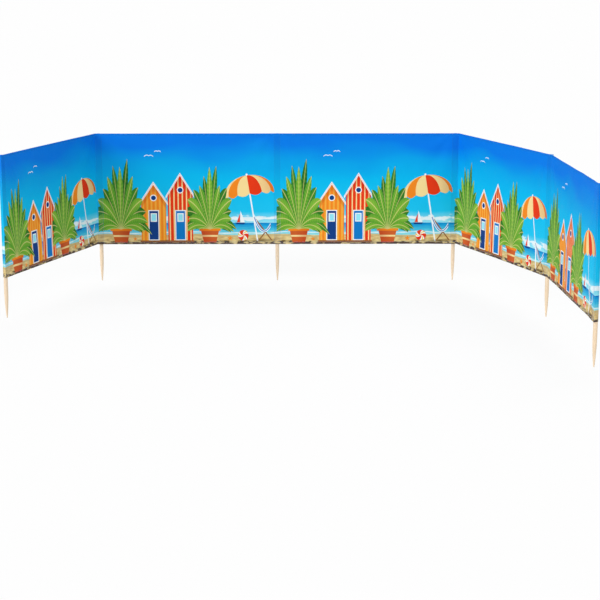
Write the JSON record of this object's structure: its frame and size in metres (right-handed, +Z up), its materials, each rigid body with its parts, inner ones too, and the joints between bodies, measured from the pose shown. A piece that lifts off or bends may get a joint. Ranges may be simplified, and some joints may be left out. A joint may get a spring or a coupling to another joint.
{
  "type": "beach windbreak",
  "caption": "Long hemmed cloth screen with a beach print, held up in a U by pointed wooden stakes in sleeves sewn on its back.",
  "frame": {"origin": "centre of the blunt tip of stake_3, the stake in the middle of the back wall", "axes": "+X along the back wall, to the right as seen from inside the shelter; +Y out of the shelter to the side with the stakes and sleeves; +Z up the stakes"},
  "size_m": [3.4034, 2.3284, 1.0027],
  "materials": {
    "printed_cloth": "plain-weave polyester with a printed beach scene, matt with a slight sheen",
    "hem_cloth": "the same printed cloth, turned over and stitched",
    "sleeve_cloth": "the same cloth, sewn as a sleeve, reverse side out",
    "stake_wood": "bare turned pine, pale, with straight grain"
  },
  "bodies": {
    "root": {"bay_1": "printed_cloth", "bay_2": "printed_cloth", "bay_3": "printed_cloth", "bay_4": "printed_cloth", "bay_5": "printed_cloth", "bottom_hem_1": "hem_cloth", "bottom_hem_2": "hem_cloth", "bottom_hem_3": "hem_cloth", "bottom_hem_4": "hem_cloth", "bottom_hem_5": "hem_cloth", "sleeve_1": "sleeve_cloth", "sleeve_2": "sleeve_cloth", "sleeve_3": "sleeve_cloth", "sleeve_4": "sleeve_cloth", "sleeve_5": "sleeve_cloth", "sleeve_6": "sleeve_cloth", "stake_1": "stake_wood", "stake_2": "stake_wood", "stake_3": "stake_wood", "stake_4": "stake_wood", "stake_5": "stake_wood", "stake_6": "stake_wood", "top_hem_1": "hem_cloth", "top_hem_2": "hem_cloth", "top_hem_3": "hem_cloth", "top_hem_4": "hem_cloth", "top_hem_5": "hem_cloth"}
  },
  "joints": []
}
